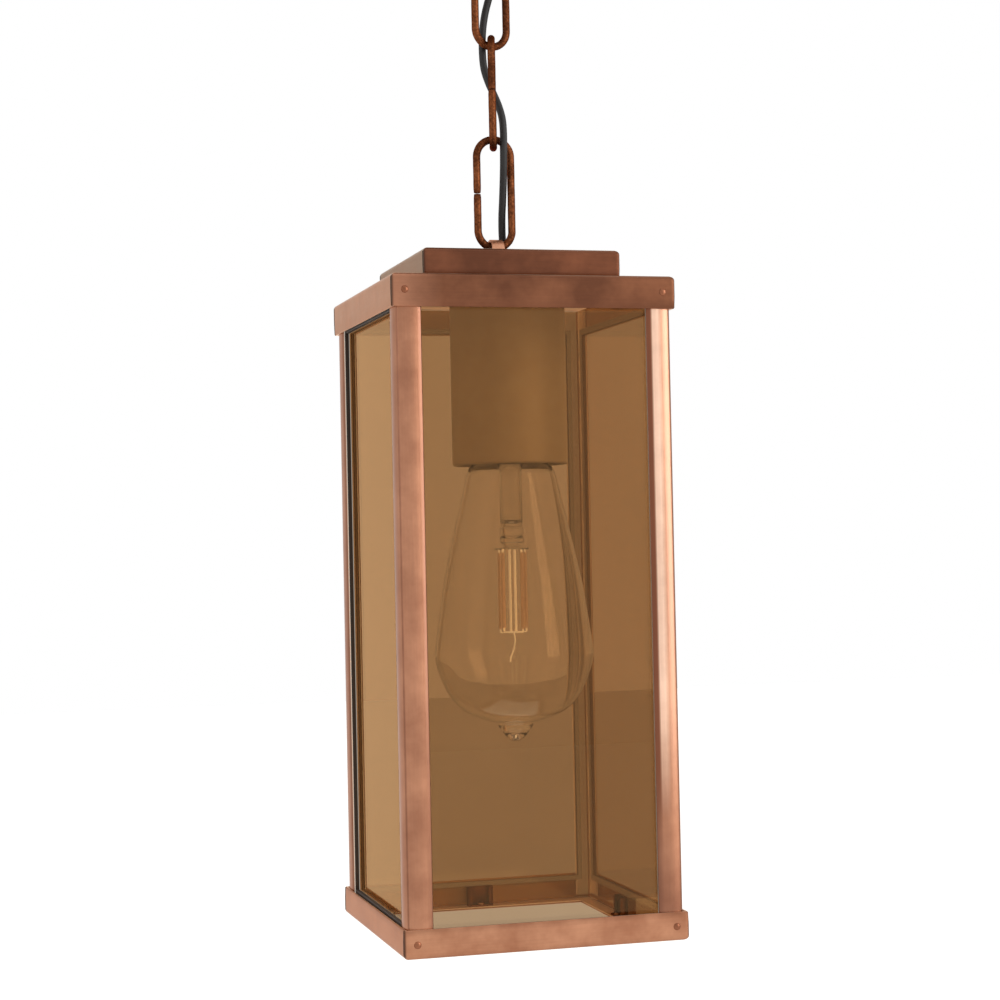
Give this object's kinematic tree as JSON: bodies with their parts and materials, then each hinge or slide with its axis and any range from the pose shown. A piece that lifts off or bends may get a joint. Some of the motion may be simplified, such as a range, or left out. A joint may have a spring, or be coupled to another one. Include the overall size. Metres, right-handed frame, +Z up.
{
  "type": "hanging lantern",
  "caption": "Tall square hanging lantern with tinted panes in a copper frame, hung by chain from a ceiling canopy, with lampholder and filament bulb inside.",
  "frame": {"origin": "centre of the two ceiling screw holes, in the plane of the ceiling", "axes": "+Z up out of the ceiling face, the lantern hangs along -Z; -Y is the front, +X the right-hand side seen from the front"},
  "size_m": [0.112, 0.1134, 0.4402],
  "materials": {
    "copper_sheet": "antique copper plated sheet, satin",
    "dark_copper": "dark antique copper, satin",
    "zinc_steel": "zinc plated steel",
    "brass_parts": "plain turned brass",
    "bulb_metal": "bright metal",
    "black_rubber": "matte rubber",
    "black_plastic": "matte moulded plastic",
    "cord_sheath": "smooth cord sheath",
    "wire_sheath": "smooth wire insulation",
    "porcelain": "glazed porcelain",
    "bronze_glass": "bronze tinted float glass",
    "clear_glass": "clear blown glass",
    "phosphor": "coated filament strips"
  },
  "bodies": {
    "canopy": {"ceiling_bracket": "zinc_steel", "ceiling_canopy": "copper_sheet", "canopy_loop": "dark_copper", "canopy_collar": "copper_sheet", "loop_nuts": "zinc_steel", "canopy_grommet": "black_rubber", "ceiling_terminal_block": "black_plastic", "supply_cord_1": "cord_sheath"},
    "link_3": {"chain_link_3": "dark_copper", "supply_cord_2": "cord_sheath"},
    "link_2": {"chain_link_2": "dark_copper", "supply_cord_3": "cord_sheath"},
    "link_1": {"chain_link_1": "dark_copper"},
    "lantern": {"supply_cord_4": "cord_sheath", "hanger_staple": "copper_sheet", "staple_rivets": "copper_sheet", "crown_box": "copper_sheet", "crown_screws": "zinc_steel", "crown_nuts": "zinc_steel", "crown_grommet": "black_rubber", "cord_clamp": "zinc_steel", "clamp_screws": "zinc_steel", "crown_terminal_block": "black_plastic", "terminal_screws": "brass_parts", "lamp_wires": "wire_sheath", "earth_wire": "wire_sheath", "earth_screw": "brass_parts", "roof_cap": "copper_sheet", "cap_rivets": "copper_sheet", "post_front_left": "copper_sheet", "post_front_right": "copper_sheet", "post_back_left": "copper_sheet", "post_back_right": "copper_sheet", "pane_front": "bronze_glass", "pane_back": "bronze_glass", "pane_left": "bronze_glass", "pane_right": "bronze_glass", "seal_front": "black_rubber", "seal_back": "black_rubber", "seal_left": "black_rubber", "seal_right": "black_rubber", "bottom_frame": "copper_sheet", "frame_rivets": "copper_sheet", "pane_clips": "dark_copper", "clip_rivets": "copper_sheet", "holder_cup": "dark_copper", "holder_nipple": "brass_parts", "nipple_nuts": "brass_parts", "lampholder_dome": "porcelain", "lampholder_body": "porcelain", "screw_shell": "brass_parts", "centre_contact": "brass_parts", "lampholder_screws": "brass_parts"},
    "bulb_travel": {"bulb_contact": "bulb_metal"},
    "bulb": {"bulb_glass": "clear_glass", "bulb_cap": "bulb_metal", "bulb_stem": "clear_glass", "bulb_filaments": "phosphor", "filament_supports": "bulb_metal", "bulb_insulator": "black_plastic"}
  },
  "joints": [
    {"name": "link_3_swing", "type": "hinge", "parent": "canopy", "child": "link_3", "pos_m": [0, 0, -0.04455], "axis": [0, 1, 0], "range_deg": [-40, 40], "deforming": ["supply_cord_1"]},
    {"name": "link_2_swing", "type": "hinge", "parent": "link_3", "child": "link_2", "pos_m": [0, 0, -0.0853], "axis": [0.9744, 0.225, 0], "range_deg": [-40, 40], "deforming": ["supply_cord_2"]},
    {"name": "link_1_swing", "type": "hinge", "parent": "link_2", "child": "link_1", "pos_m": [0, 0, -0.12625], "axis": [0.2756, 0.9613, 0], "range_deg": [-40, 40], "deforming": ["supply_cord_3"]},
    {"name": "lantern_swing", "type": "hinge", "parent": "link_1", "child": "lantern", "pos_m": [0, 0, -0.1672], "axis": [1, 0, 0], "range_deg": [-30, 30], "deforming": ["supply_cord_4"]},
    {"name": "bulb_travel", "type": "slide", "parent": "lantern", "child": "bulb_travel", "axis": [0, 0, -1], "range_m": [0, 0.0119]},
    {"name": "bulb_unscrew", "type": "hinge", "parent": "bulb_travel", "child": "bulb", "pos_m": [0.004, 0, -0.3], "axis": [0, 0, -1], "range_deg": [0, 1170]}
  ],
  "couplings": [
    {"joint": "bulb_travel", "follows": "bulb_unscrew", "m_per_rad": 0.0005775}
  ]
}
